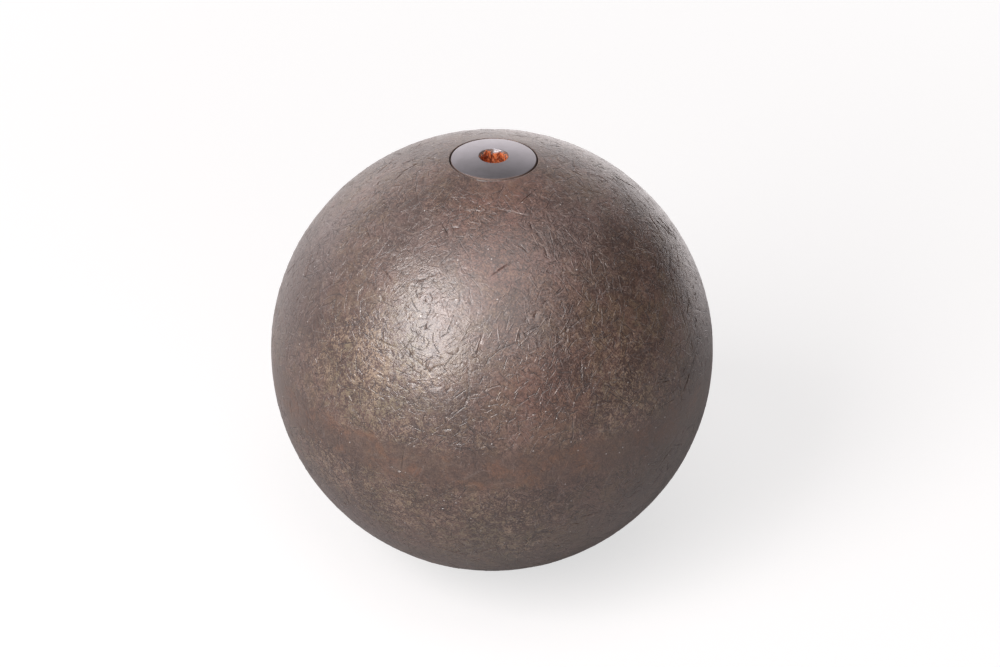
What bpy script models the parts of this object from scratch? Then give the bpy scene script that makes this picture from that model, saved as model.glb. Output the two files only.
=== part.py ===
"""Hollow steel throwing weight: a welded ball with a light filler, a trimming chamber and a screwed plug.

The ball's centre is the origin, +Z runs out through the plug and the marked side faces -Y.
"""

import math

import bmesh
import bpy

MM = 0.001

# Ball
BALL_RADIUS = 55.0 * MM
SHELL_WALL = 10.3 * MM

# Clearance between a piece and the piece that carries it
SEAT_GAP = 0.3 * MM

# Joint of the two half shells: a lip that centres them, a land and a groove for the weld
LIP_WIDTH = 2.3 * MM
LIP_HEIGHT = 3.0 * MM
LAND_WIDTH = 2.0 * MM
GROOVE_HALF_OPENING = 4.0 * MM
WELD_ROOT_RISE = 0.6 * MM

# Hole at the top of the ball
COUNTERBORE_DIAMETER = 21.4 * MM
COUNTERBORE_DEPTH = 5.2 * MM
RIM_CHAMFER = 0.3 * MM

# Right-hand metric thread of the hole and the plug, in the proportions that such threads have
THREAD_DIAMETER = 16.0 * MM
THREAD_PITCH = 1.5 * MM
THREAD_DEPTH = 0.6134 * THREAD_PITCH
THREAD_CREST_WIDTH = 0.125 * THREAD_PITCH
THREAD_FLANK_ANGLE = math.radians(30)
THREAD_CLEARANCE = 0.25 * MM
THREAD_OVERLAP = 0.3 * MM

# Plug and its washer
PLUG_CLEARANCE = 0.3 * MM
WASHER_THICKNESS = 0.8 * MM
WASHER_CLEARANCE = 0.5 * MM
SHANK_OVERHANG = 1.1 * MM
SHANK_CHAMFER = 0.8 * MM
RELIEF_HEIGHT = 1.0 * MM

# Socket for a six-sided key
SOCKET_SIDES = 6
SOCKET_ACROSS_FLATS = 6.0 * MM
SOCKET_DEPTH = 7.0 * MM
SOCKET_LEAD_IN = 0.65 * MM

# Trimming chamber
DISC_COUNT = 4
DISC_THICKNESS = 4.5 * MM
DISC_PLAY = 0.1 * MM
PAD_THICKNESS = 2.3 * MM
SLEEVE_WALL = 1.5 * MM

# Fineness of the round shapes
TURN_STEPS = 48
THREAD_STEPS = 32
SMALL_TURN_STEPS = 32
ARC_STEP = math.radians(7.5)
DOME_STEP = math.radians(2.5)
SHARP_ANGLE = math.radians(30)
MERGE_DISTANCE = 0.01 * MM
CUTTER_MARGIN = 2.0 * MM

# Levels and radii that several pieces share
CAVITY_RADIUS = BALL_RADIUS - SHELL_WALL
LIP_OUTER_RADIUS = CAVITY_RADIUS + LIP_WIDTH
GROOVE_ROOT_RADIUS = LIP_OUTER_RADIUS + LAND_WIDTH
COUNTERBORE_RADIUS = COUNTERBORE_DIAMETER / 2
SHOULDER_LEVEL = BALL_RADIUS - COUNTERBORE_DEPTH
THREAD_RADIUS = THREAD_DIAMETER / 2
THREAD_ROOT_RADIUS = THREAD_RADIUS - THREAD_DEPTH
WASHER_BOTTOM = SHOULDER_LEVEL + SEAT_GAP
WASHER_TOP = WASHER_BOTTOM + WASHER_THICKNESS
HEAD_RADIUS = COUNTERBORE_RADIUS - PLUG_CLEARANCE
HEAD_BOTTOM = WASHER_TOP + SEAT_GAP
SHANK_END = CAVITY_RADIUS - SHANK_OVERHANG
DISC_RADIUS = THREAD_ROOT_RADIUS - DISC_PLAY
DISC_SPACING = DISC_THICKNESS + SEAT_GAP
PAD_TOP = SHANK_END - SEAT_GAP
PAD_BOTTOM = PAD_TOP - PAD_THICKNESS
CHAMBER_FLOOR = PAD_BOTTOM - DISC_COUNT * DISC_SPACING - SEAT_GAP
SLEEVE_BORE_RADIUS = DISC_RADIUS + SEAT_GAP
SLEEVE_OUTER_RADIUS = SLEEVE_BORE_RADIUS + SLEEVE_WALL
SLEEVE_BOTTOM = CHAMBER_FLOOR - SLEEVE_WALL
CORE_RADIUS = CAVITY_RADIUS - SEAT_GAP


def height_on_sphere(sphere_radius, radius):
    """Height of a sphere about the origin at this distance from its axis."""
    return math.sqrt(sphere_radius**2 - radius**2)


def sphere_arc(sphere_radius, start_height, end_height, step=ARC_STEP):
    """(radius, height) points along a sphere about the origin, from one height to another."""
    start = math.asin(start_height / sphere_radius)
    end = math.asin(end_height / sphere_radius)
    count = math.ceil(abs(end - start) / step)
    angles = [start + (end - start) * index / count for index in range(count + 1)]
    return [(sphere_radius * math.cos(a), sphere_radius * math.sin(a)) for a in angles]


def clear_scene():
    for obj in list(bpy.data.objects):
        bpy.data.objects.remove(obj, do_unlink=True)


def new_collection(name):
    collection = bpy.data.collections.new(name)
    bpy.context.scene.collection.children.link(collection)
    return collection


def evaluated_mesh(obj):
    bpy.context.view_layer.update()
    graph = bpy.context.evaluated_depsgraph_get()
    return bpy.data.meshes.new_from_object(obj.evaluated_get(graph))


def swept(name, profile, collection, steps, origin_height=0.0, ring=False, pitch=0.0, turns=1):
    """A profile of (radius, height) points turned about Z, or screwed up it where it has a pitch."""
    count = len(profile)
    edges = [(index, index + 1) for index in range(count - 1)]
    if ring:
        edges.append((count - 1, 0))
    mesh = bpy.data.meshes.new(name)
    mesh.from_pydata([(radius, 0, height - origin_height) for radius, height in profile], edges, [])
    obj = bpy.data.objects.new(name, mesh)
    collection.objects.link(obj)
    obj.location.z = origin_height
    screw = obj.modifiers.new("sweep", "SCREW")
    screw.axis = "Z"
    screw.steps = steps
    screw.render_steps = steps
    screw.screw_offset = pitch
    screw.iterations = turns
    screw.use_merge_vertices = pitch == 0
    screw.merge_threshold = MERGE_DISTANCE
    turned_mesh = evaluated_mesh(obj)
    obj.modifiers.clear()
    obj.data = turned_mesh
    turned_mesh.shade_smooth()
    turned_mesh.set_sharp_from_angle(angle=SHARP_ANGLE)
    return obj


def boolean(obj, operation, other):
    modifier = obj.modifiers.new(f"{operation.lower()}_{other.name}", "BOOLEAN")
    modifier.operation = operation
    modifier.solver = "EXACT"
    modifier.object = other


def as_cutter(obj):
    obj.hide_render = True
    obj.display_type = "WIRE"
    return obj


def paint(obj, colour, roughness, metallic):
    material = bpy.data.materials.new(f"{obj.name}_surface")
    material.use_nodes = True
    shader = material.node_tree.nodes["Principled BSDF"]
    shader.inputs["Base Color"].default_value = (*colour, 1.0)
    shader.inputs["Roughness"].default_value = roughness
    shader.inputs["Metallic"].default_value = metallic
    obj.data.materials.clear()
    obj.data.materials.append(material)


def patinate(obj):
    """The brown patina that the whole outside of the ball carries."""
    paint(obj, (0.20, 0.15, 0.13), 0.42, 0.85)


def thread_ridge(name, collection, clearance, first_turn, turns):
    """One helical ridge of the thread, its middle a whole number of pitches over the shank's end."""
    crest = THREAD_CREST_WIDTH / 2
    base = crest + THREAD_DEPTH * math.tan(THREAD_FLANK_ANGLE)
    root = THREAD_ROOT_RADIUS + clearance
    middle = SHANK_END + first_turn * THREAD_PITCH
    profile = [
        (root - THREAD_OVERLAP, middle + base),
        (root, middle + base),
        (THREAD_RADIUS + clearance, middle + crest),
        (THREAD_RADIUS + clearance, middle - crest),
        (root, middle - base),
        (root - THREAD_OVERLAP, middle - base),
    ]
    ridge = swept(name, profile, collection, THREAD_STEPS, ring=True, pitch=THREAD_PITCH, turns=turns)
    shape = bmesh.new()
    shape.from_mesh(ridge.data)
    bmesh.ops.holes_fill(shape, edges=[edge for edge in shape.edges if edge.is_boundary], sides=0)
    bmesh.ops.recalc_face_normals(shape, faces=shape.faces)
    shape.to_mesh(ridge.data)
    shape.free()
    return as_cutter(ridge)


def thread_cutter(collection):
    """What the hole's thread takes out of the shell: a bore with an oversize ridge around it."""
    bottom = SHANK_END - CUTTER_MARGIN
    top = SHOULDER_LEVEL + CUTTER_MARGIN
    radius = THREAD_ROOT_RADIUS + THREAD_CLEARANCE
    profile = [(0, top), (radius, top), (radius, bottom), (0, bottom)]
    cutter = as_cutter(swept("hole_thread_cutter", profile, collection, THREAD_STEPS))
    turns = math.ceil((top - bottom) / THREAD_PITCH)
    boolean(cutter, "UNION", thread_ridge("hole_thread_ridge", collection, THREAD_CLEARANCE, -1, turns))
    return cutter


def make_upper_half_shell(parts, cutters):
    half_gap = SEAT_GAP / 2
    recess_radius = LIP_OUTER_RADIUS + SEAT_GAP
    recess_top = LIP_HEIGHT + SEAT_GAP
    rim_radius = COUNTERBORE_RADIUS + RIM_CHAMFER
    rim_height = height_on_sphere(BALL_RADIUS, rim_radius)
    bore_radius = THREAD_ROOT_RADIUS
    bore_bottom = height_on_sphere(CAVITY_RADIUS, bore_radius)
    profile = [
        *sphere_arc(BALL_RADIUS, rim_height, GROOVE_HALF_OPENING),
        (GROOVE_ROOT_RADIUS, half_gap),
        (recess_radius, half_gap),
        (recess_radius, recess_top),
        *sphere_arc(CAVITY_RADIUS, recess_top, bore_bottom),
        (bore_radius, SHOULDER_LEVEL),
        (COUNTERBORE_RADIUS, SHOULDER_LEVEL),
        (COUNTERBORE_RADIUS, rim_height - RIM_CHAMFER),
    ]
    shell = swept("upper_half_shell", profile, parts, TURN_STEPS, ring=True)
    boolean(shell, "DIFFERENCE", thread_cutter(cutters))
    patinate(shell)


def make_lower_half_shell(parts):
    half_gap = SEAT_GAP / 2
    profile = [
        *sphere_arc(CAVITY_RADIUS, -CAVITY_RADIUS, 0),
        (CAVITY_RADIUS, LIP_HEIGHT),
        (LIP_OUTER_RADIUS, LIP_HEIGHT),
        (LIP_OUTER_RADIUS, -half_gap),
        (GROOVE_ROOT_RADIUS, -half_gap),
        *sphere_arc(BALL_RADIUS, -GROOVE_HALF_OPENING, -BALL_RADIUS),
    ]
    patinate(swept("lower_half_shell", profile, parts, TURN_STEPS))


def make_equator_weld(parts):
    """The weld fills the groove and is ground flush with the ball."""
    half_width = GROOVE_HALF_OPENING - SEAT_GAP
    groove_depth = height_on_sphere(BALL_RADIUS, GROOVE_HALF_OPENING) - GROOVE_ROOT_RADIUS
    opening_at_root = GROOVE_HALF_OPENING * WELD_ROOT_RISE / groove_depth
    root_radius = GROOVE_ROOT_RADIUS + SEAT_GAP + WELD_ROOT_RISE
    profile = [
        (root_radius, opening_at_root),
        (height_on_sphere(BALL_RADIUS, half_width), half_width),
        (BALL_RADIUS, 0),
        (height_on_sphere(BALL_RADIUS, half_width), -half_width),
        (root_radius, -opening_at_root),
    ]
    patinate(swept("equator_weld", profile, parts, TURN_STEPS, ring=True))


def make_filler_core(parts):
    pocket_radius = SLEEVE_OUTER_RADIUS + SEAT_GAP
    pocket_floor = SLEEVE_BOTTOM - SEAT_GAP
    profile = [
        (0, pocket_floor),
        (pocket_radius, pocket_floor),
        *sphere_arc(CORE_RADIUS, height_on_sphere(CORE_RADIUS, pocket_radius), -CORE_RADIUS),
    ]
    core = swept("filler_core", profile, parts, TURN_STEPS)
    paint(core, (0.24, 0.23, 0.20), 0.85, 0.0)


def make_chamber_sleeve(parts):
    """A steel cup cast into the filler, open at the top, which ends below the plug's shank and the shell."""
    top = min(height_on_sphere(CORE_RADIUS, SLEEVE_OUTER_RADIUS), SHANK_END - SEAT_GAP)
    profile = [
        (0, CHAMBER_FLOOR),
        (SLEEVE_BORE_RADIUS, CHAMBER_FLOOR),
        (SLEEVE_BORE_RADIUS, top),
        (SLEEVE_OUTER_RADIUS, top),
        (SLEEVE_OUTER_RADIUS, SLEEVE_BOTTOM),
        (0, SLEEVE_BOTTOM),
    ]
    sleeve = swept("chamber_sleeve", profile, parts, SMALL_TURN_STEPS)
    paint(sleeve, (0.42, 0.41, 0.40), 0.40, 1.0)


def make_disc(name, parts, bottom, thickness, radius):
    top = bottom + thickness
    profile = [(0, top), (radius, top), (radius, bottom), (0, bottom)]
    return swept(name, profile, parts, SMALL_TURN_STEPS, origin_height=bottom)


def make_trimming_load(parts):
    """Lead discs that bring the ball to its exact weight, and the pad that keeps them from rattling."""
    for index in range(DISC_COUNT):
        bottom = CHAMBER_FLOOR + SEAT_GAP + index * DISC_SPACING
        disc = make_disc(f"trim_disc_{index + 1}", parts, bottom, DISC_THICKNESS, DISC_RADIUS)
        paint(disc, (0.24, 0.25, 0.27), 0.55, 1.0)
    pad = make_disc("packing_pad", parts, PAD_BOTTOM, PAD_THICKNESS, DISC_RADIUS)
    paint(pad, (0.035, 0.035, 0.035), 0.9, 0.0)


def make_sealing_washer(parts, carrier):
    inner = THREAD_RADIUS + SEAT_GAP
    outer = COUNTERBORE_RADIUS - WASHER_CLEARANCE
    profile = [
        (inner, WASHER_TOP),
        (outer, WASHER_TOP),
        (outer, WASHER_BOTTOM),
        (inner, WASHER_BOTTOM),
    ]
    washer = swept("sealing_washer", profile, parts, SMALL_TURN_STEPS, HEAD_BOTTOM, ring=True)
    washer.parent = carrier
    washer.location.z = 0
    paint(washer, (0.60, 0.29, 0.16), 0.35, 1.0)


def shank_envelope(collection):
    """What the plug's thread keeps: the shank's outside with its bevelled end and the relief under the head."""
    top = HEAD_BOTTOM - RELIEF_HEIGHT
    profile = [
        (0, top),
        (THREAD_RADIUS - SHANK_CHAMFER, top),
        (THREAD_RADIUS, top - SHANK_CHAMFER),
        (THREAD_RADIUS, SHANK_END + SHANK_CHAMFER),
        (THREAD_RADIUS - SHANK_CHAMFER, SHANK_END),
        (0, SHANK_END),
    ]
    return as_cutter(swept("shank_envelope", profile, collection, THREAD_STEPS))


def plug_thread(collection):
    turns = math.ceil((HEAD_BOTTOM - SHANK_END) / THREAD_PITCH) + 1
    ridge = thread_ridge("plug_thread_ridge", collection, 0.0, -1, turns)
    boolean(ridge, "INTERSECT", shank_envelope(collection))
    return ridge


def socket_cutters(collection):
    """The six-sided socket, with two of its flats square to Y, and its conical mouth."""
    floor = BALL_RADIUS - SOCKET_DEPTH
    top = BALL_RADIUS + CUTTER_MARGIN
    half_side = math.pi / SOCKET_SIDES
    bpy.ops.mesh.primitive_cylinder_add(
        vertices=SOCKET_SIDES,
        radius=SOCKET_ACROSS_FLATS / 2 / math.cos(half_side),
        depth=top - floor,
        location=(0, 0, (top + floor) / 2),
        rotation=(0, 0, half_side),
    )
    socket = bpy.context.object
    socket.name = "socket_cutter"
    for holder in list(socket.users_collection):
        holder.objects.unlink(socket)
    collection.objects.link(socket)
    mouth = SOCKET_ACROSS_FLATS / 2 + SOCKET_LEAD_IN
    throat = SOCKET_ACROSS_FLATS / 2
    mouth_height = height_on_sphere(BALL_RADIUS, mouth)
    profile = [
        (0, top),
        (mouth + top - mouth_height, top),
        (throat, mouth_height - SOCKET_LEAD_IN),
        (0, mouth_height - SOCKET_LEAD_IN),
    ]
    lead_in = swept("socket_mouth_cutter", profile, collection, SMALL_TURN_STEPS)
    return as_cutter(socket), as_cutter(lead_in)


def make_closing_plug(parts, cutters, carrier):
    """The plug's head follows the ball's curve, so the top of the ball stays round."""
    edge_height = height_on_sphere(BALL_RADIUS, HEAD_RADIUS - RIM_CHAMFER)
    profile = [
        *sphere_arc(BALL_RADIUS, BALL_RADIUS, edge_height, DOME_STEP),
        (HEAD_RADIUS, edge_height - RIM_CHAMFER),
        (HEAD_RADIUS, HEAD_BOTTOM),
        (THREAD_ROOT_RADIUS, HEAD_BOTTOM),
        (THREAD_ROOT_RADIUS, SHANK_END + SEAT_GAP),
        (THREAD_ROOT_RADIUS - SEAT_GAP, SHANK_END),
        (0, SHANK_END),
    ]
    plug = swept("closing_plug", profile, parts, SMALL_TURN_STEPS, origin_height=HEAD_BOTTOM)
    plug.parent = carrier
    plug.location.z = 0
    boolean(plug, "UNION", plug_thread(cutters))
    for cutter in socket_cutters(cutters):
        boolean(plug, "DIFFERENCE", cutter)
    paint(plug, (0.36, 0.33, 0.33), 0.38, 0.9)


def make_screw_carrier(collection):
    """The empty on the screw's axis that the plug and its washer hang from."""
    carrier = bpy.data.objects.new("plug_carrier", None)
    collection.objects.link(carrier)
    carrier.location.z = HEAD_BOTTOM
    return carrier


def main():
    clear_scene()
    parts = new_collection("throwing_weight")
    cutters = new_collection("cutters")
    carrier = make_screw_carrier(parts)
    make_upper_half_shell(parts, cutters)
    make_lower_half_shell(parts)
    make_equator_weld(parts)
    make_filler_core(parts)
    make_chamber_sleeve(parts)
    make_trimming_load(parts)
    make_sealing_washer(parts, carrier)
    make_closing_plug(parts, cutters, carrier)


main()
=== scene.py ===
"""Looks of the throwing weight: a worn steel ball with a flush screw plug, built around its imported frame.

Sizes are in millimetres. The ball's centre is the origin, +Z runs out through the plug and -Y faces the
camera.
"""

import math
from functools import partial, partialmethod, reduce

import bmesh
import bpy
import numpy as np
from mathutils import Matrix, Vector
from mathutils.geometry import delaunay_2d_cdt
from mathutils.kdtree import KDTree


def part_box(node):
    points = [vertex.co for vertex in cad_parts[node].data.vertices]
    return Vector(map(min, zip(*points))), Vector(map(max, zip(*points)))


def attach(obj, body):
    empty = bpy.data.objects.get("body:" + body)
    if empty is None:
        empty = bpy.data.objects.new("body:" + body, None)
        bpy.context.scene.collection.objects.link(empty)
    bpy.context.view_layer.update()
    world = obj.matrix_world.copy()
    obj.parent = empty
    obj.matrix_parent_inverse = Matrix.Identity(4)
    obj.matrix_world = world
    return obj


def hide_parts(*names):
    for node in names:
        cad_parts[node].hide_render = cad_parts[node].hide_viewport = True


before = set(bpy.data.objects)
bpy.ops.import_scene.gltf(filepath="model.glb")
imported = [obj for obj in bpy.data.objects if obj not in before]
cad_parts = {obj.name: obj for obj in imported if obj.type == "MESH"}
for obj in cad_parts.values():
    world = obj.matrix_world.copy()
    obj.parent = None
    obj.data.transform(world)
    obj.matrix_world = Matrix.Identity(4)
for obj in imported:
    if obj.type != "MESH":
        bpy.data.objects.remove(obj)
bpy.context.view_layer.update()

MM = 0.001


def ends(node):
    """Heights of a node's bottom and top."""
    low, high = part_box(node)
    return low[2] / MM, high[2] / MM


def radius_of(node):
    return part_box(node)[1][0] / MM


# Sizes that the frame gives, and the gap that pieces keep at a seat
BALL_BOTTOM, LIP_HEIGHT = ends("lower_half_shell")
BALL_RADIUS = -BALL_BOTTOM
SEAT_GAP = 0.3
CAVITY_RADIUS = radius_of("filler_core") + SEAT_GAP
HEAD_RADIUS = radius_of("closing_plug")
SHANK_END = ends("closing_plug")[0]
WASHER_RADIUS = radius_of("sealing_washer")
WASHER_BOTTOM, WASHER_TOP = ends("sealing_washer")
DISC_RADIUS = radius_of("trim_disc_1")
SLEEVE_RADIUS = radius_of("chamber_sleeve")

# Sizes that the pieces share
BELT_HALF_WIDTH = ends("equator_weld")[1] + SEAT_GAP
LIP_RADIUS = CAVITY_RADIUS + 2.3
GROOVE_ROOT = LIP_RADIUS + 2.0
WELD_ROOT_RISE = 0.6
HOLE_RADIUS = HEAD_RADIUS + 0.3
SHOULDER = WASHER_BOTTOM - SEAT_GAP
HEAD_BOTTOM = WASHER_TOP + SEAT_GAP
THREAD_PITCH = 1.5
THREAD_RADIUS = 8.0
THREAD_ROOT = THREAD_RADIUS - 0.6134 * THREAD_PITCH
THREAD_CLEARANCE = 0.25
THREAD_STEP = THREAD_PITCH / 12
THREAD_RELIEF = 1.0
SOCKET_HALF_WIDTH = 3.0
SOCKET_MOUTH = 3.65
SOCKET_FLOOR = BALL_RADIUS - 7.0
WASHER_EDGE = 0.12
DISC_COUNT = 4
SLEEVE_WALL = 1.5

# The worn skin: strokes stand up to RELIEF_ROOM over it and never leave the ball's real size
RELIEF_ROOM = 0.07
RELIEF_MARGIN = 0.005
RELIEF_DEPTH = 0.16
SKIN_RADIUS = BALL_RADIUS - RELIEF_ROOM
RIM_ROUNDING = 0.18
RIM_RADIUS = HOLE_RADIUS + RIM_ROUNDING
COLLAR_RADII = (RIM_RADIUS + 0.22, RIM_RADIUS + 0.55)

# How fine the meshes are
BELT_STEPS = 480
HOLE_STEPS = 160
PLUG_STEPS = 120
FINE_STEPS = 96
CAVITY_RINGS = 24
CORE_RINGS = 40
SKIN_SPACING = 0.95
STROKE_STEP = 0.55
SAME_POINT = 0.11
SHARP_ANGLE = math.radians(32)
GOLDEN_ANGLE = math.pi * (3 - math.sqrt(5))


def round_angles(steps):
    return np.arange(steps) * (2 * math.pi / steps)


def unit(vectors):
    return vectors / np.linalg.norm(vectors, axis=-1, keepdims=True)


def smooth_step(values, start, end):
    share = np.clip((values - start) / (end - start), 0, 1)
    return share * share * (3 - 2 * share)


def bearing(azimuth, elevation):
    """Direction at these degrees: azimuth 0 faces the camera, +90 is +X, and elevation 90 is the plug."""
    side, rise = math.radians(azimuth), math.radians(elevation)
    return np.array([math.sin(side) * math.cos(rise), -math.cos(side) * math.cos(rise), math.sin(rise)])


def directions(heights, turns):
    """Directions at these heights, from -1 to 1, and these angles about the axis."""
    flat = np.sqrt(np.maximum(1 - heights**2, 0))
    return np.stack([flat * np.cos(turns), flat * np.sin(turns), heights], axis=1)


def sphere_height(distance, radius=SKIN_RADIUS):
    """Height on a ball at this distance from its axis, or distance from the axis at this height."""
    return math.sqrt(radius**2 - distance**2)


def arc(radius, start, end, count):
    """Radii and heights of points on a ball, from one height to another."""
    angles = np.linspace(math.asin(start / radius), math.asin(end / radius), count)
    return [(radius * math.cos(angle), radius * math.sin(angle)) for angle in angles]


# Relief of the skin

# Smoother fields: where each lies, its inner and outer reach, and the share of strokes that it keeps
SMOOTH_FIELDS = (
    (bearing(3, 52), 9, 19, 0.40),
    (bearing(5, 25), 7, 11, 0.35),
    (bearing(0, 90), 12, 19, 0.30),
)
BELT_KEEPS = 0.16

# Hollows of the skin: wavelength, seed and depth
HOLLOWS = ((17, 11, 0.035), (5, 12, 0.016))
WAVE_COUNT = 24

# Strokes: how many are tried on each piece, their sizes, and the long scratches among them
UPPER_STROKES = 5000
LOWER_STROKES = 5300
BELT_STROKES = 1800
STROKE_LENGTH = 2.1
STROKE_LENGTHS = (0.9, 7.0)
STROKE_WIDTHS = (0.38, 0.74)
STROKE_RISES = (0.022, 0.062)
SUNKEN_SHARE = 0.58
SCRATCH_SHARE = 0.012
SCRATCH_LENGTHS = (4.5, 8.5)
SCRATCH_WIDTHS = (0.42, 0.62)
SCRATCH_DEPTH = 0.12
BANK_HEIGHT = 0.28
BANK_REACH = 1.7


def waves(points, wavelength, seed):
    """A smooth random field with a spread of about 1, made of plane waves."""
    rng = np.random.default_rng(seed)
    ways = unit(rng.normal(size=(WAVE_COUNT, 3))) * rng.uniform(0.7, 1.4, (WAVE_COUNT, 1))
    phases = rng.uniform(0, 2 * math.pi, WAVE_COUNT)
    total = np.sin(points @ ways.T * (2 * math.pi / wavelength) + phases).sum(axis=1)
    return total * math.sqrt(2 / WAVE_COUNT)


def undulation(points):
    """Shallow hollows of the forged skin, which die out at the hole."""
    drop = sum(depth * (1 + waves(points, wavelength, seed) / 2) for wavelength, seed, depth in HOLLOWS)
    from_axis = np.linalg.norm(points[:, :2], axis=1)
    near_hole = (points[:, 2] > 0) * (1 - smooth_step(from_axis, RIM_RADIUS, RIM_RADIUS + 4))
    return np.minimum(-drop, 0) * (1 - near_hole)


def roughness_share(ways):
    """The share of strokes that a place keeps: fewer on the belt and the smoother fields."""
    height = np.abs(ways[:, 2]) * SKIN_RADIUS + 0.8 * waves(ways * SKIN_RADIUS, 9, 21)
    rough = smooth_step(height, BELT_HALF_WIDTH - 0.5, BELT_HALF_WIDTH + 3.5)
    share = BELT_KEEPS + (1 - BELT_KEEPS) * rough
    for place, inner, outer, kept in SMOOTH_FIELDS:
        gap = np.linalg.norm(ways - place, axis=1) * SKIN_RADIUS
        share *= kept + (1 - kept) * smooth_step(gap, inner, outer)
    return share


class Strokes:
    """Short hairs in the skin: grooves with raised banks, and ridges."""

    def __init__(self, count, low, high, seed):
        rng = np.random.default_rng(seed)
        heights = rng.uniform(low / SKIN_RADIUS, high / SKIN_RADIUS, count)
        centres = directions(heights, rng.uniform(0, 2 * math.pi, count))
        centres = centres[rng.uniform(0, 1, count) < roughness_share(centres)]
        count = len(centres)
        self.centre = centres
        self.along = unit(np.cross(centres, rng.normal(size=(count, 3))))
        self.across = np.cross(centres, self.along)
        self.length = np.clip(rng.lognormal(math.log(STROKE_LENGTH), 0.42, count), *STROKE_LENGTHS)
        self.width = rng.uniform(*STROKE_WIDTHS, count) * (0.8 + 0.2 * self.length / STROKE_LENGTH)
        self.bend = rng.normal(0, 0.10, count)
        self.sunken = rng.uniform(0, 1, count) < SUNKEN_SHARE
        self.rise = rng.uniform(*STROKE_RISES, count)
        self.rise[self.sunken] *= 1.5
        scratch = rng.uniform(0, 1, count) < SCRATCH_SHARE
        self.length[scratch] = rng.uniform(*SCRATCH_LENGTHS, scratch.sum())
        self.width[scratch] = rng.uniform(*SCRATCH_WIDTHS, scratch.sum())
        self.rise[scratch] = SCRATCH_DEPTH
        self.sunken[scratch] = True

    def each(self):
        """The middle, the two directions and the sizes of one stroke after another."""
        return zip(self.centre * SKIN_RADIUS, self.along, self.across, self.length, self.width, self.bend)

    def rows(self):
        """Points that follow each stroke: its middle and both its sides."""
        found = []
        for middle, along, across, length, width, bend in self.each():
            run = np.linspace(-length / 2, length / 2, max(3, round(length / STROKE_STEP) + 1))
            for side in (0.0, -0.5, 0.5):
                off = bend * run**2 / length + side * width
                found.append(middle + run[:, None] * along + off[:, None] * across)
        return unit(np.concatenate(found)) * SKIN_RADIUS

    def press(self, points):
        """Height of the strokes at each point, and their mark there: -1 in a groove, 1 on a ridge."""
        tree = KDTree(len(points))
        for index, point in enumerate(points):
            tree.insert(point, index)
        tree.balance()
        heights, marks = np.zeros((2, len(points)))
        for index, (middle, along, across, length, width, bend) in enumerate(self.each()):
            near = [hit[1] for hit in tree.find_range(middle, length / 2 + width)]
            offset = points[near] - middle
            run = offset @ along
            taper = np.sqrt(np.clip(1 - (2 * run / length) ** 2, 0, 1))
            away = np.abs(offset @ across - bend * run**2 / length) / (width / 2)
            if self.sunken[index]:
                bank = BANK_HEIGHT * np.clip((BANK_REACH - away) / (BANK_REACH - 1), 0, 1)
                form = np.where(away < 1, -1 + (1 + BANK_HEIGHT) * away**2, bank)
            else:
                form = np.clip(1 - away**2, 0, 1)
            heights[near] += self.rise[index] * form * taper
            marks[near] += form * taper
        return heights, np.clip(marks, -1, 1)


# Meshes

# Where pieces lie on the map of a bake: the skin's disc, the band of what lies behind it, and turned pieces
OUTER_MAP = 0.36
INNER_BAND = (0.74, 0.99)
TURNED_BAND = (0.03, 0.97)
TURNED_ENDS = (0.01, 0.99)


def add_object(name, data):
    obj = bpy.data.objects.new(name, data)
    bpy.context.scene.collection.objects.link(obj)
    return obj


def ring(radius, height, steps):
    """Points round the axis. The radius and the height may differ from point to point."""
    angles = round_angles(steps)
    return np.stack([radius * np.cos(angles), radius * np.sin(angles), height + 0 * angles], axis=1)


def between(points, low, high):
    return points[(points[:, 2] > low) & (points[:, 2] < high)]


def even_points(low, high, seed):
    """Points spread evenly over the skin between two heights, each a little off its place."""
    total = int(4 * math.pi * (SKIN_RADIUS / SKIN_SPACING) ** 2)
    index = np.arange(total)
    points = directions(1 - (2 * index + 1) / total, index * GOLDEN_ANGLE) * SKIN_RADIUS
    points += np.random.default_rng(seed).uniform(-0.25, 0.25, points.shape) * SKIN_SPACING
    return between(unit(points) * SKIN_RADIUS, low, high)


def cells(points, size):
    """The cell of a grid that each point lies in."""
    return [tuple(cell) for cell in np.floor(points / size).astype(int).tolist()]


def thin_out(edge_points, strokes, spread, low, high):
    """The points that make the skin: none of a stroke nearly meet, and spread ones keep off the strokes."""
    strokes = between(strokes, low + 0.3, high - 0.3)
    near_edge = set(cells(edge_points, 3 * SAME_POINT))
    taken = set()
    kept = []
    for point, cell, wide_cell in zip(strokes, cells(strokes, SAME_POINT), cells(strokes, 3 * SAME_POINT)):
        if cell not in taken and wide_cell not in near_edge:
            taken.add(cell)
            kept.append(point)
    busy = set(cells(np.concatenate([kept, edge_points]), SKIN_SPACING / 2))
    free = [cell not in busy for cell in cells(spread, SKIN_SPACING / 2)]
    return np.concatenate([kept, spread[free]])


def join_points(points, loops, hole, under):
    """Triangles that join points of the skin, seen from the far pole, with none across the hole's loop."""
    facing = -1 if under else 1
    away = 1 + facing * points[:, 2] / np.linalg.norm(points, axis=1)
    flat = unit(points)[:, :2] / away[:, None]
    edges = [(loop[i - 1], loop[i]) for loop in loops for i in range(len(loop))]
    result = delaunay_2d_cdt([Vector(pair) for pair in flat], edges, [], 0, 1e-9)
    origin = np.array([sources[0] for sources in result[3]])
    triangles = origin[np.array(result[2])]
    on_hole = np.zeros(len(points), bool)
    on_hole[hole] = True
    triangles = triangles[~on_hole[triangles].all(axis=1)]
    return triangles[:, ::-1] if under else triangles


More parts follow.
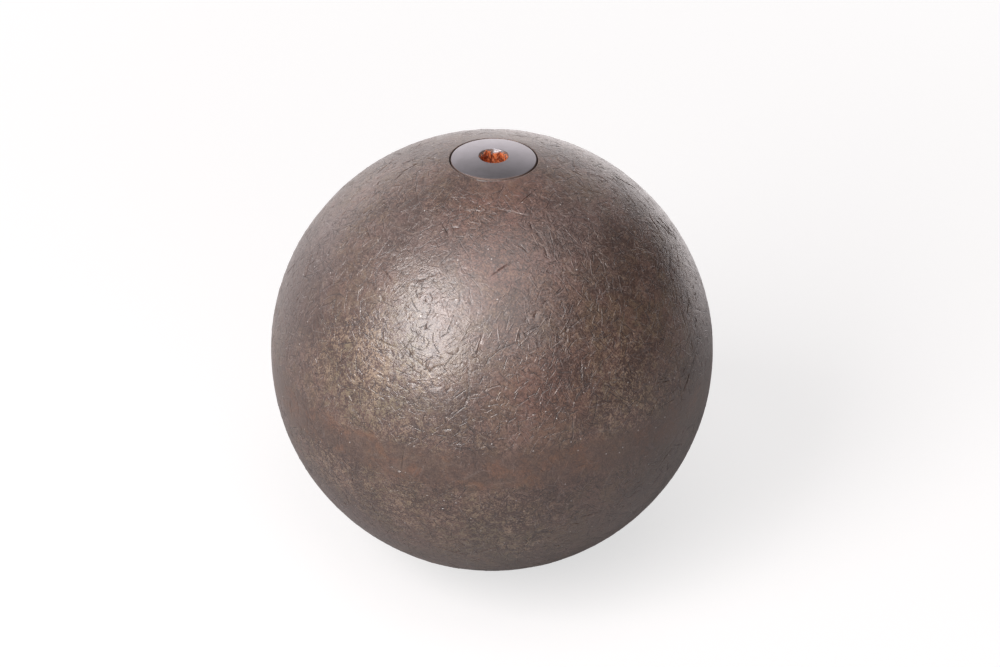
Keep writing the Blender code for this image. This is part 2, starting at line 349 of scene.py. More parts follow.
class Form:
    """A mesh in the making, and its corners' places on the map of a bake. Its rings have so many points."""

    def __init__(self, steps):
        self.steps = steps
        self.points, self.faces, self.corners, self.values = [], [], [], {}

    def add(self, points, **values):
        """Adds points, with a named value for each or for all of them."""
        places = range(len(self.points), len(self.points) + len(points))
        self.points.extend(points.tolist())
        for name, value in values.items():
            column = self.values.setdefault(name, {})
            column.update(zip(places, np.broadcast_to(value, len(points)).tolist()))
        return list(places)

    def ring(self, radius, height, **values):
        return self.add(ring(radius, height, self.steps), **values)

    def rings(self, profile, **values):
        """Adds a ring for each radius and height of a profile."""
        return [self.ring(radius, height, **values) for radius, height in profile]

    def face(self, *corners):
        """Adds a face. Each corner is a point and its place on the map."""
        self.faces.append([point for point, _ in corners])
        self.corners.extend(place for _, place in corners)

    def bridge(self, first, second, start, end):
        """Faces between two rings. A ring may have a whole number of times the other's points."""
        if len(first) < len(second):
            self.bridge(second, first, end, start)
            return
        ratio = len(first) // len(second)
        count = len(second)
        for index in range(count):
            points = [first[(index * ratio + k) % len(first)] for k in range(ratio + 1)]
            many = [(point, (start, (index + k / ratio) / count)) for k, point in enumerate(points)]
            few = [(second[(index + k) % count], (end, (index + k) / count)) for k in (0, 1)]
            if ratio == 1:
                self.face(*many, few[1], few[0])
                continue
            middle = ratio // 2
            for k in range(ratio):
                self.face(many[k], many[k + 1], few[k >= middle])
            self.face(many[middle], few[1], few[0])

    def turned(self, rings, side):
        """Joins rings in order, laid out on the map as a band at this side."""
        heights = [np.array(self.points)[part].mean(axis=0)[2] for part in rings]
        radii = [np.linalg.norm(self.points[part[0]][:2]) for part in rings]
        steps = np.hypot(np.diff(heights), np.diff(radii)) + 0.05
        travel = np.concatenate([[0], np.cumsum(steps)]) / steps.sum()
        places = side[0] + (side[1] - side[0]) * travel
        for index in range(len(rings) - 1):
            self.bridge(rings[index], rings[index + 1], places[index], places[index + 1])

    def close(self, loop, height, side, **values):
        """A flat or pointed end over a ring."""
        tip = self.add(np.array([[0, 0, height]]), **values)[0]
        start, end = side
        count = len(loop)
        corners = [(loop[index % count], (start, index / count)) for index in range(count + 1)]
        for index in range(count):
            self.face(corners[index], corners[index + 1], (tip, (end, (index + 0.5) / count)))

    def build(self, name, body, material, nodes):
        """The finished piece, riding on its body in place of its nodes."""
        mesh = bpy.data.meshes.new(name)
        mesh.from_pydata((np.array(self.points) * MM).tolist(), [], self.faces)
        layout = mesh.uv_layers.new(name="OFBake")
        layout.data.foreach_set("uv", np.array(self.corners, np.float32).ravel())
        for key, column in self.values.items():
            layer = mesh.attributes.new(key, "FLOAT", "POINT")
            values = np.zeros(len(self.points), np.float32)
            values[list(column)] = list(column.values())
            layer.data.foreach_set("value", values)
        shape = bmesh.new()
        shape.from_mesh(mesh)
        bmesh.ops.recalc_face_normals(shape, faces=shape.faces)
        shape.to_mesh(mesh)
        shape.free()
        mesh.shade_smooth()
        mesh.set_sharp_from_angle(angle=SHARP_ANGLE)
        mesh.materials.append(material)
        piece = add_object(name, mesh)
        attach(piece, body)
        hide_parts(*nodes)


# The skin of the ball


def skin_corners(points, triangles):
    """Places on the map for the outer skin: a disc seen along the axis, even in all its rings."""
    ways = unit(points)
    polar = np.arccos(np.clip(np.abs(ways[:, 2]), 0, 1)) / (math.pi / 2)
    flat = ways[:, :2] / np.maximum(np.linalg.norm(ways[:, :2], axis=1, keepdims=True), 1e-9)
    places = OUTER_MAP * (1 + 0.98 * flat * polar[:, None])
    return places[triangles.ravel()]


def belt_corners(points, triangles):
    """Places on the map for the belt: its way round upwards, with no triangle across the seam."""
    turn = np.arctan2(points[:, 1], points[:, 0]) / (2 * math.pi) % 1
    rise = (points[:, 2] / (2 * BELT_HALF_WIDTH) + 0.5) * 0.7
    places = np.stack([rise, turn], axis=1)[triangles]
    turns = places[:, :, 1]
    crossing = turns.max(axis=1) - turns.min(axis=1) > 0.5
    turns[crossing] += turns[crossing] < 0.5
    turns *= 0.99
    return places.reshape(-1, 2)


def belt_edge(height):
    """The ring that the belt shares with the half shell beside it."""
    points = ring(sphere_height(height), height, BELT_STEPS)
    return unit(points) * (SKIN_RADIUS + undulation(points))[:, None]


def skin(form, loops, bare, strokes, low, high, seed, corners=skin_corners, under=False):
    """Adds the outer skin between the given edge loops to a form, and returns the loops' places in it."""
    edge_points = np.concatenate(loops)
    inner_points = thin_out(edge_points, strokes.rows(), even_points(low, high, seed), low, high)
    heights, marks = strokes.press(inner_points)
    heights = np.maximum(heights, -RELIEF_DEPTH) + undulation(inner_points)
    heights = np.minimum(heights, RELIEF_ROOM - RELIEF_MARGIN)
    inner_points = unit(inner_points) * (SKIN_RADIUS + heights)[:, None]
    # Edge loops carry bare metal and, on the hole's rim, a painted highlight
    placed = [form.add(loop, stroke=0.0, bare=worn_and_lit) for loop, worn_and_lit in zip(loops, bare)]
    form.add(inner_points, stroke=marks)
    points = np.array(form.points)
    triangles = join_points(points, placed, [] if under else placed[0], under)
    form.faces.extend(triangles.tolist())
    form.corners.extend(corners(points, triangles).tolist())
    return placed


def thread_radius(angles, height, root, crest):
    """Radius of a right-hand metric thread at this height, all the way round."""
    turns = (height - SHANK_END) / THREAD_PITCH - angles / (2 * math.pi)
    off_ridge = np.abs(turns - np.round(turns)) * THREAD_PITCH
    half_crest = THREAD_PITCH / 16
    flank = (crest - root) * math.tan(math.radians(30))
    return crest - (crest - root) * np.clip((off_ridge - half_crest) / flank, 0, 1)


def thread_rings(form, bottom, top, root, crest, envelope=None):
    """Rings of a threaded stretch, from its top to its bottom."""
    angles = round_angles(form.steps)
    rows = []
    for height in np.linspace(top, bottom, math.ceil((top - bottom) / THREAD_STEP) + 1):
        radii = thread_radius(angles, height, root, crest)
        if envelope:
            radii = np.minimum(radii, envelope(height))
        rows.append(form.ring(radii, height, bare=1.0))
    return rows


def stretch(angles, middle, full, end):
    """1 within this many degrees of the middle of a stretch of a ring, and 0 past its end."""
    away = np.abs((np.degrees(angles) - middle + 180) % 360 - 180)
    return smooth_step(-away, -end, -full)


# The rim of the hole: a chip at the near left, a stretch along the front with a painted highlight, and how
# far it leans in
RIM_ANGLES = round_angles(HOLE_STEPS)
CHIP = stretch(RIM_ANGLES, 254.5, 6.0, 7.2)
# A painted highlight: the front stretch of the rim is painted lighter, like bare steel
PAINTED_RIM_HIGHLIGHT = stretch(RIM_ANGLES, 269, 9, 12)
RIM_LEAN = 0.13 * smooth_step(-np.sin(RIM_ANGLES), 0.3, 0.9)
RIM_STEPS = ((0.25, 0.10), (0.62, 0.34), (0.90, 0.68), (1.0, 1.1))


def rim_rings(form, rim_loop):
    """The rounded edge of the hole, from the skin inwards and down, bare at the chip and with a painted
    highlight along the front.
    """
    height = sphere_height(RIM_RADIUS) - 0.10 * CHIP
    width = RIM_ROUNDING + RIM_LEAN - 0.12 * CHIP
    profile = [(RIM_RADIUS - width * inward, height - RIM_ROUNDING * drop) for inward, drop in RIM_STEPS]
    return [rim_loop, *form.rings(profile, bare=np.maximum(0.5 * CHIP, 0.45 * PAINTED_RIM_HIGHLIGHT))]


def make_upper_half(material):
    """The skin above the belt, with the hole and its thread, the cavity and the recess for the lip."""
    form = Form(HOLE_STEPS)
    low = BELT_HALF_WIDTH
    rim = ring(RIM_RADIUS, sphere_height(RIM_RADIUS), HOLE_STEPS)
    rim[:, 2] -= 0.06 * CHIP
    collars = [ring(radius, sphere_height(radius), HOLE_STEPS) for radius in COLLAR_RADII]
    high = collars[-1][0, 2]
    strokes = Strokes(UPPER_STROKES, low, high, 31)
    loops = [rim, *collars, belt_edge(low)]
    # Bare steel at the chip, and a painted highlight along the front of the rim
    wear = [np.maximum(0.6 * CHIP, 0.4 * PAINTED_RIM_HIGHLIGHT), 0.45 * CHIP, 0.0, 0.0]
    rim_loop, *_, belt_loop = skin(form, loops, wear, strokes, low, high, 32)
    crest, root = THREAD_RADIUS + THREAD_CLEARANCE, THREAD_ROOT + THREAD_CLEARANCE
    thread_top = SHOULDER - 0.45
    thread_bottom = sphere_height(crest, CAVITY_RADIUS) + 0.05
    counterbore = (
        (HOLE_RADIUS, SHOULDER + 2.0), (HOLE_RADIUS, SHOULDER + 0.15), (HOLE_RADIUS - 0.15, SHOULDER),
        (crest + 0.45, SHOULDER), (crest + 0.02, thread_top),
    )
    rings = rim_rings(form, rim_loop) + form.rings(counterbore, bare=1.0)
    rings += thread_rings(form, thread_bottom, thread_top - 0.05, root, crest)
    exit_height = sphere_height(crest + 0.1, CAVITY_RADIUS)
    recess, recess_top, recess_foot = LIP_RADIUS + SEAT_GAP, LIP_HEIGHT + SEAT_GAP, SEAT_GAP / 2
    rings += form.rings(arc(CAVITY_RADIUS, exit_height, recess_top, CAVITY_RINGS))
    rings += form.rings(((recess, recess_top), (recess, recess_foot), (GROOVE_ROOT, recess_foot)))
    form.turned([*rings, belt_loop], INNER_BAND)
    form.build("upper_half_skin", "ball", material, ["upper_half_shell"])


def make_lower_half(material):
    """The skin below the belt, with the lip that centres it and the cavity."""
    form = Form(HOLE_STEPS)
    low, high = -SKIN_RADIUS, -BELT_HALF_WIDTH
    strokes = Strokes(LOWER_STROKES, low, high, 41)
    (belt_loop,) = skin(form, [belt_edge(high)], [0.0], strokes, low, high, 42, under=True)
    lip = (
        (GROOVE_ROOT, -SEAT_GAP / 2), (LIP_RADIUS, -SEAT_GAP / 2), (LIP_RADIUS, LIP_HEIGHT - 0.2),
        (LIP_RADIUS - 0.2, LIP_HEIGHT), (CAVITY_RADIUS, LIP_HEIGHT),
    )
    rings = [belt_loop, *form.rings(lip)]
    rings += form.rings(arc(CAVITY_RADIUS, 0, -CAVITY_RADIUS * math.cos(math.radians(2)), CAVITY_RINGS))
    form.turned(rings, INNER_BAND)
    form.close(rings[-1], -CAVITY_RADIUS, (INNER_BAND[1], 0.999))
    form.build("lower_half_skin", "ball", material, ["lower_half_shell"])


def make_belt(material):
    """The weld, ground flush with the ball: the smooth belt."""
    form = Form(HOLE_STEPS)
    half = BELT_HALF_WIDTH
    strokes = Strokes(BELT_STROKES, -half, half, 51)
    edges = [belt_edge(half), belt_edge(-half)]
    upper_loop, lower_loop = skin(form, edges, [0.0, 0.0], strokes, -half, half, 52, belt_corners)
    root = GROOVE_ROOT + SEAT_GAP + WELD_ROOT_RISE
    rise = half * WELD_ROOT_RISE / (sphere_height(half, BALL_RADIUS) - GROOVE_ROOT)
    form.turned([upper_loop, *form.rings(((root, rise), (root, -rise))), lower_loop], INNER_BAND)
    form.build("belt_skin", "ball", material, ["equator_weld"])


# The plug and its washer

PLUG_ANGLES = round_angles(PLUG_STEPS)


def socket_radius(angles):
    """Distance from the axis to the six-sided socket's wall, with two flats square to Y."""
    turned = (angles + math.pi / 6 - math.pi / 2) % (math.pi / 3) - math.pi / 6
    return SOCKET_HALF_WIDTH / np.cos(turned)


def plug_envelope(height):
    """The largest radius that the thread keeps near the shank's end and near the head."""
    from_end = min(height - SHANK_END, HEAD_BOTTOM - THREAD_RELIEF - height)
    return max(min(THREAD_RADIUS - 0.8 + from_end, THREAD_RADIUS), THREAD_ROOT)


def dome_rings(form):
    """The plug's domed face, from its rounded edge, which carries dirt and painted shade, to the socket's
    mouth.
    """
    edge = sphere_height(HEAD_RADIUS)
    # Dirt and painted shade round the edge, painted darker towards the front
    painted_front_shade = smooth_step(-np.sin(PLUG_ANGLES), 0.55, 0.95)
    side = HEAD_RADIUS
    rounding = ((side, edge - 0.38), (side - 0.02, edge - 0.22), (side - 0.07, edge - 0.10))
    rings = form.rings(rounding, dirt=0.92)
    for radius in np.linspace(side - 0.16, SOCKET_MOUTH + 0.12, 24):
        grime_and_painted_shade = smooth_step(radius, side - 0.8, side - 0.16) * (0.1 + 0.8 * painted_front_shade)
        rings.append(form.ring(radius, sphere_height(radius), dirt=grime_and_painted_shade))
    return rings


def socket_rings(form):
    """The conical mouth, with dirt and painted shade except on its lit far side, and the rusty six-sided
    wall down to the floor.
    """
    wall = socket_radius(PLUG_ANGLES)
    mouth_height = sphere_height(SOCKET_MOUTH)
    # Painted light: the mouth's far side keeps clean, less rusty steel so that it shows bright; elsewhere
    # the mouth is darkened with dirt and painted shade
    lit_far_side = stretch(PLUG_ANGLES, 70, 14, 34)
    near = smooth_step(-np.sin(PLUG_ANGLES), 0.1, 0.7)
    mouth_dirt_and_shade = 0.95 - 0.32 * lit_far_side
    cone_radius = SOCKET_MOUTH - 0.03
    cone_top = mouth_height - 0.07
    cone_foot = cone_top - (cone_radius - wall)
    rings = [
        form.ring(SOCKET_MOUTH + 0.08, mouth_height - 0.005, rust=0.10 + 0.42 * near, dirt=0.4 * mouth_dirt_and_shade),
        form.ring(cone_radius, cone_top, rust=0.25 + 0.4 * near, dirt=0.8 * mouth_dirt_and_shade),
    ]
    for share in (0.33, 0.67, 1.0):
        radii = cone_radius + (wall - cone_radius) * share
        points = ring(radii, cone_top + (cone_foot - cone_top) * share, PLUG_STEPS)
        points[:, 2] += 0.02 * waves(points, 0.9, 64)
        rust = 0.36 + 0.18 * share - 0.14 * lit_far_side
        rings.append(form.add(points, rust=rust, dirt=mouth_dirt_and_shade * (1 - 0.15 * share)))
    for share in np.linspace(0.06, 1.0, 22):
        heights = cone_foot + (SOCKET_FLOOR - cone_foot) * share
        points = ring(wall, heights, PLUG_STEPS)
        crust = np.clip(0.035 + 0.035 * waves(points, 1.1, 61) + 0.02 * waves(points, 0.5, 62), 0, 0.12)
        amount = min(1.0, 0.45 + 2.5 * share)
        rings.append(form.ring(wall - crust * min(1, 6 * share), heights, rust=amount))
    for share in (0.75, 0.5, 0.25):
        points = ring(wall * share, SOCKET_FLOOR, PLUG_STEPS)
        points[:, 2] += np.clip(0.05 + 0.04 * waves(points, 1.2, 63), 0, 0.15)
        rings.append(form.add(points, rust=1.0))
    return rings


def make_plug(material):
    """The screw plug, from the end of its shank to the floor of its socket."""
    form = Form(PLUG_STEPS)
    rings = [form.ring(THREAD_RADIUS - 1.1, SHANK_END)]
    top = HEAD_BOTTOM - THREAD_RELIEF
    rings += thread_rings(form, SHANK_END + 0.02, top, THREAD_ROOT, THREAD_RADIUS, plug_envelope)[::-1]
    under_head = (
        (THREAD_ROOT, top + 0.05), (THREAD_ROOT, HEAD_BOTTOM - 0.15), (THREAD_ROOT + 0.15, HEAD_BOTTOM),
        (HEAD_RADIUS - 0.2, HEAD_BOTTOM), (HEAD_RADIUS, HEAD_BOTTOM + 0.2),
    )
    rings += form.rings(under_head) + dome_rings(form) + socket_rings(form)
    start, end = TURNED_ENDS[0], TURNED_BAND[1]
    form.turned(rings, (start, end))
    form.close(rings[-1], SOCKET_FLOOR + 0.05, (end, TURNED_ENDS[1]), rust=1.0)
    form.close(rings[0], SHANK_END, (start, 0.0))
    form.build("screw_plug", "plug", material, ["closing_plug"])


def make_ring_piece(name, body, material, node, profile):
    """A turned piece from (radius, height) points, where a radius of 0 closes an end."""
    form = Form(FINE_STEPS)
    rings = form.rings([place for place in profile if place[0] > 0])
    if profile[0][0] > 0:
        form.turned([*rings, rings[0]], TURNED_ENDS)
    else:
        form.turned(rings, TURNED_BAND)
        for turn in (0, -1):
            form.close(rings[turn], profile[turn][1], (TURNED_BAND[turn], TURNED_ENDS[turn]))
    form.build(name, body, material, [node])


def make_washer(material):
    """A flat ring, with a small edge at each corner of its section."""
    inner, outer, edge = THREAD_RADIUS + SEAT_GAP, WASHER_RADIUS, WASHER_EDGE
    bottom, top = WASHER_BOTTOM, WASHER_TOP
    profile = [
        (inner, bottom + edge), (inner, top - edge), (inner + edge, top), (outer - edge, top),
        (outer, top - edge), (outer, bottom + edge), (outer - edge, bottom), (inner + edge, bottom),
    ]
    make_ring_piece("copper_washer", "washer", material, "sealing_washer", profile)


# What the ball holds


def make_load(lead, rubber):
    """The lead discs, with cast edges and a shallow dish, and the pad over them."""
    side = DISC_RADIUS
    for number in range(1, DISC_COUNT + 1):
        node = f"trim_disc_{number}"
        bottom, top = ends(node)
        profile = [
            (0, bottom), (side - 0.5, bottom), (side, bottom + 0.4), (side, top - 0.4), (side - 0.5, top),
            (side - 1.2, top), (side - 1.6, top - 0.2), (1.2, top - 0.2), (0.8, top - 0.5), (0, top - 0.5),
        ]
        make_ring_piece(f"lead_disc_{number}", "ball", lead, node, profile)
    bottom, top = ends("packing_pad")
    profile = [
        (0, bottom), (side - 0.5, bottom), (side - 0.1, bottom + 0.4), (side, bottom + 1.1),
        (side - 0.1, top - 0.4), (side - 0.5, top), (0, top),
    ]
    make_ring_piece("rubber_pad", "ball", rubber, "packing_pad", profile)


def make_sleeve(material):
    """The steel cup that the load lies in."""
    bottom, top = ends("chamber_sleeve")
    outer, bore, floor = SLEEVE_RADIUS, SLEEVE_RADIUS - SLEEVE_WALL, bottom + SLEEVE_WALL
    profile = [
        (0, floor), (bore - 0.5, floor), (bore - 0.15, floor + 0.15), (bore, floor + 0.25),
        (bore, top - 0.3), (bore + 0.3, top), (outer - 0.3, top), (outer, top - 0.3),
        (outer, bottom + 0.8), (outer - 0.25, bottom + 0.25), (outer - 0.8, bottom), (0, bottom),
    ]
    make_ring_piece("steel_sleeve", "ball", material, "chamber_sleeve", profile)


def make_core(material):
    """The cast filler: a ball with a pocket for the sleeve, rounded at the pocket's edge."""
    radius = CAVITY_RADIUS - SEAT_GAP
    pocket, floor = SLEEVE_RADIUS + SEAT_GAP, ends("chamber_sleeve")[0] - SEAT_GAP
    edge = sphere_height(pocket, radius)
    profile = [(0, floor), (pocket - 0.3, floor), (pocket, floor + 0.3), (pocket, edge - 0.5)]
    profile += arc(radius, sphere_height(pocket + 0.4, radius), -radius, CORE_RINGS)[:-1]
    profile.append((0, -radius))
    make_ring_piece("cast_core", "ball", material, "filler_core", profile)


# Materials


def srgb(red, green, blue):
    """A colour given as it shows, from 0 to 255, in the linear values that a shader takes."""
    shares = [value / 255 for value in (red, green, blue)]
    return tuple(((share + 0.055) / 1.055) ** 2.4 for share in shares)


# Colours of the patina, the plug and its rust, some of them used for painted shade and painted glints
BROWN_DARK = srgb(75, 54, 47)
BROWN_LIGHT = srgb(121, 92, 81)
RED_BROWN = srgb(133, 89, 78)
BELT_BROWN = srgb(108, 84, 72)
BELT_ORANGE = srgb(129, 87, 62)
MAUVE_GREY = srgb(116, 96, 93)
OLIVE_BROWN = srgb(106, 87, 65)
FLECK_TAN = srgb(172, 147, 122)
FLECK_OLIVE = srgb(135, 120, 95)
# Dark of the creases, for the dirt and the painted shade in them
CREASE_DARK = srgb(46, 38, 38)
WORN_GREY = srgb(178, 166, 163)
# Bare steel, also the colour of the painted glints
BARE_STEEL_AND_PAINTED_GLINT = srgb(222, 214, 211)
PLUG_DARK = srgb(179, 175, 180)
PLUG_LIGHT = srgb(187, 183, 189)
# Dirt and painted shade round the plug's edge and in the socket's mouth
PLUG_DIRT_AND_SHADE = srgb(116, 93, 83)
RUST_DARK = srgb(112, 42, 22)
RUST_LIGHT = srgb(238, 130, 76)
# Pale specks painted into the rust as glints
PAINTED_RUST_GLINT = srgb(240, 180, 150)

# Places where the patina differs, some also with painted sheen and painted shade: azimuth, elevation, inner
# and outer reach, shift of its edge, strength
FLECK_ZONES = (
    (-34, 20, 6, 26, 33, 1.0), (0, -24, 6, 24, 51, 0.9), (-48, -12, 2, 16, 64, 0.7),
    (38, 14, 4, 22, 77, 0.6), (-24, 8, 4, 18, 35, 0.7), (-26, -17, 4, 18, 37, 0.7),
    (170, 30, 6, 30, 81, 0.9), (120, -20, 6, 28, 87, 0.8), (-120, 10, 6, 26, 93, 0.9),
)
# Mauve patina, partly a painted sheen where the ball's outline turns away
MAUVE_AND_PAINTED_SHEEN_ZONES = (
    (-80, 30, 8, 24, 14, 1.0), (-82, -12, 8, 22, 19, 1.0), (-50, -36, 6, 22, 24, 1.0),
    (-42, 56, 2, 18, 29, 0.8), (44, 58, 2, 20, 36, 0.9), (84, 8, 8, 24, 39, 0.9),
    (52, -34, 6, 22, 46, 0.9), (10, -66, 6, 24, 49, 0.8), (150, -35, 6, 28, 58, 0.9),
    (-160, 50, 6, 26, 69, 0.8),
)
# Darker patina in places; the one at the mid left is painted shade
DARK_AND_PAINTED_SHADE_ZONES = (
    (-68, 26, 5, 20, 27, 1.0), (50, -9, 3, 19, 34, 0.8), (-130, -30, 4, 20, 44, 0.8),
    (100, 45, 4, 20, 54, 0.8),
)
RED_ZONES = (
    (10, 62, 8, 26, 15, 1.0), (14, 22, 4, 18, 73, 0.8), (-150, -20, 6, 24, 86, 0.9),
)

# Patterns of the patina
ZONE_EDGE = 22
BELT_EDGE = (6.5, 3.0)
BELT_EDGE_WAVES = 9.0
FINE_HAIRS = 0.4
SMALL_HAIRS = 0.9
HAIR_RELIEF = 0.047
GRAIN_RELIEF = 0.07
LUMP_RELIEF = 0.05
# Painted glints: how far apart the pale specks lie and how large they are
PAINTED_GLINT_SPACING = 3.0
PAINTED_GLINT_SIZE = 0.075


class Tree:
    """A node tree, built with short calls."""

    def __init__(self, tree):
        self.tree = tree

    def node(self, kind, inputs=None, **settings):
        """Adds a shader node, with what feeds its inputs and its settings."""
        node = self.tree.nodes.new("ShaderNode" + kind)
        for key, value in settings.items():
            setattr(node, key, value)
        for key, value in (inputs or {}).items():
            self.feed(node.inputs[key], value)
        return node

    def feed(self, socket, value):
        if isinstance(value, bpy.types.NodeSocket):
            self.tree.links.new(value, socket)
        elif socket.type == "RGBA" and len(value) == 3:
            socket.default_value = (*value, 1.0)
        else:
            socket.default_value = value

    def math(self, operation, first, second=0.0, clamp=False):
        node = self.node("Math", {0: first, 1: second}, operation=operation, use_clamp=clamp)
        return node.outputs[0]

    def times(self, *factors):
        return reduce(partial(self.math, "MULTIPLY"), factors)

    def sum(self, *terms):
        return reduce(partial(self.math, "ADD"), terms)

    less = partialmethod(math, "SUBTRACT")
    most = partialmethod(math, "MAXIMUM")

    def inverse(self, share):
        return self.less(1.0, share)

    def vector(self, operation, first, second=None, **inputs):
        feeds = {0: first} if second is None else {0: first, 1: second}
        node = self.node("VectorMath", {**feeds, **inputs}, operation=operation)
        return node.outputs["Value" if operation in ("DOT_PRODUCT", "DISTANCE", "LENGTH") else "Vector"]

    def ease(self, value, start, end, low=0.0, high=1.0):
        """Runs smoothly from low, where the value is start, to high, where it is end."""
        feeds = {"Value": value, "From Min": start, "From Max": end, "To Min": low, "To Max": high}
        return self.node("MapRange", feeds, interpolation_type="SMOOTHSTEP").outputs["Result"]

    def mix(self, share, first, second):
        return self.node("Mix", {0: share, 6: first, 7: second}, data_type="RGBA").outputs[2]

    def blend(self, share, first, second):
        """Like mix, for plain numbers."""
        return self.node("Mix", {0: share, 2: first, 3: second}).outputs[0]


class Surface(Tree):
    """A material whose patterns lie in space, in millimetres from the object's middle."""

    def __init__(self, name):
        self.material = bpy.data.materials.new(name)
        self.material.use_nodes = True
        super().__init__(self.material.node_tree)
        self.shader = self.tree.nodes["Principled BSDF"]
        where = self.node("TexCoord").outputs["Object"]
        self.place = self.vector("SCALE", where, Scale=1 / MM)
        self.normal = self.vector("NORMALIZE", self.place)

    def set(self, **inputs):
        for key, value in inputs.items():
            self.feed(self.shader.inputs[key.replace("_", " ")], value)

    def noise(self, size, detail, roughness, shift=0.0, distortion=0.0, place=None):
        if shift:
            place = self.shifted(shift)
        feeds = {"Vector": place or self.place, "Scale": 1 / size, "Detail": detail}
        feeds.update(Roughness=roughness, Distortion=distortion)
        return self.node("TexNoise", feeds).outputs[0]

    def shifted(self, offset):
        """The place, moved so that a pattern read there differs from the same pattern elsewhere."""
        return self.vector("ADD", self.place, (offset, 0.37 * offset, -0.71 * offset))

    def attribute(self, name):
        return self.node("Attribute", attribute_name=name).outputs["Fac"]

    def near(self, direction, inner, outer, ragged=0.0, seed=0.0):
        """1 round a place on the ball and 0 away from it, with an uneven edge."""
        gap = self.vector("DISTANCE", self.place, Vector(direction * SKIN_RADIUS))
        if ragged:
            wobble = self.less(self.noise(7, 4, 0.6, seed), 0.5)
            gap = self.sum(gap, self.times(wobble, ragged))
        return self.ease(gap, outer, inner)

    def zones(self, places):
        """1 in each of these places, given like FLECK_ZONES, and 0 between them."""
        total = 0.0
        for azimuth, elevation, inner, outer, seed, strength in places:
            zone = self.near(bearing(azimuth, elevation), inner, outer, ZONE_EDGE, seed)
            total = self.most(self.times(zone, strength), total)
        return total

    def strands(self, size, shift, width):
        """Fine hairs, one in each cell of about this size. Each lies its own way along the ball, is bent a
        little, and is sunken, -1, or raised, 1."""
        place = self.shifted(shift)
        cell = self.node("TexVoronoi", {"Vector": place, "Scale": 1 / size}).outputs
        chance = self.node("SeparateColor", {0: cell["Color"]}).outputs
        way = self.vector("NORMALIZE", self.vector("SUBTRACT", cell["Color"], (0.5, 0.5, 0.5)))
        turned = self.vector("CROSS_PRODUCT", self.normal, way)
        along = self.vector("NORMALIZE", turned)
        across = self.vector("CROSS_PRODUCT", self.normal, along)
        offset = self.vector("SUBTRACT", place, cell["Position"])
        run = self.vector("DOT_PRODUCT", offset, along)
        side = self.vector("DOT_PRODUCT", offset, across)
        bend = self.times(self.less(chance[0], 0.5), run, run, 0.35 / size)
        thin = self.ease(self.math("ABSOLUTE", self.sum(side, bend)), width, 0.15 * width)
        cut = self.ease(self.math("ABSOLUTE", run), 0.60 * size, 0.35 * size)
        inside = self.ease(cell["Distance"], 0.64, 0.48)
        fade = self.times(inside, self.ease(self.vector("LENGTH", turned), 0.2, 0.4))
        sign = self.less(self.times(self.math("GREATER_THAN", chance[1], SUNKEN_SHARE), 2.0), 1.0)
        return self.times(thin, cut, fade, sign)

    def paint(self, share, shade, strength=1.0):
        """Lays a shade over the colour in this share, at this strength."""
        self.colour = self.mix(self.times(share, strength), self.colour, shade)

    def bump(self, height):
        return self.node("Bump", {"Height": height, "Distance": MM}).outputs["Normal"]


def paint_browns(look, belt, mottle, speck):
    """Patches of brown, olive, red and mauve, the mauve partly a painted sheen near the ball's outline,
    darker in places, partly as painted shade, with a calmer and warmer belt.
    """
    clouds = look.noise(13, 5, 0.62, shift=40, distortion=0.4)
    patch = look.ease(look.noise(6, 4, 0.6, shift=100, distortion=0.5), 0.40, 0.60)
    tone = look.sum(look.times(clouds, 0.26), look.times(mottle, 0.32), look.times(speck, 0.42))
    tone = look.blend(look.times(belt, 0.42), tone, 0.5)
    look.colour = BROWN_LIGHT
    look.paint(patch, OLIVE_BROWN, 0.55)
    look.paint(look.zones(RED_ZONES), RED_BROWN, 0.55)
    # Mauve, partly a painted sheen near the ball's outline
    look.paint(look.zones(MAUVE_AND_PAINTED_SHEEN_ZONES), MAUVE_GREY, 0.75)
    belt_warm = look.ease(look.noise(8, 4, 0.65, shift=135, distortion=0.4), 0.45, 0.60)
    look.paint(belt, look.mix(belt_warm, BELT_BROWN, BELT_ORANGE), 0.65)
    # Darker places, the one at the mid left a painted shade
    look.paint(look.zones(DARK_AND_PAINTED_SHADE_ZONES), BROWN_DARK, 0.5)
    look.colour = look.mix(look.ease(tone, 0.42, 0.57), BROWN_DARK, look.colour)


def paint_flecks(look, belt, mottle, speck):
    """Tan and olive flecks, thicker in their zones. Gives back how much of them lies where."""
    zone = look.zones(FLECK_ZONES)
    flecks = look.sum(look.times(mottle, 0.5), look.times(speck, 0.5), look.times(zone, 0.05))
    off_belt = look.inverse(look.times(belt, 0.85))
    flecks = look.times(look.ease(flecks, 0.53, 0.61), look.sum(look.times(zone, 0.50), 0.20), off_belt)
    warm = look.ease(look.noise(9, 3, 0.5, shift=120), 0.42, 0.58)
    look.paint(flecks, look.mix(warm, FLECK_OLIVE, FLECK_TAN))
    return flecks


def skin_hairs(look, belt):
    """Hairs of four sizes, the smaller ones in clusters, and fewer on the belt and the plain places."""
    clusters = look.ease(look.noise(7, 3, 0.6, shift=150), 0.36, 0.62, 0.15, 1.0)
    plain = look.most(look.near(bearing(3, 50), 8, 20), look.near(bearing(0, 90), 12, 19))
    fine = look.times(look.strands(1.0, 200, 0.11), FINE_HAIRS)
    small = look.times(look.strands(1.6, 260, 0.15), SMALL_HAIRS)
    small = look.times(look.sum(fine, small), clusters)
    strands = look.sum(small, look.strands(2.4, 320, 0.17), look.strands(4.2, 380, 0.20))
    return look.times(strands, look.inverse(look.times(belt, 0.7)), look.inverse(look.times(plain, 0.5)))


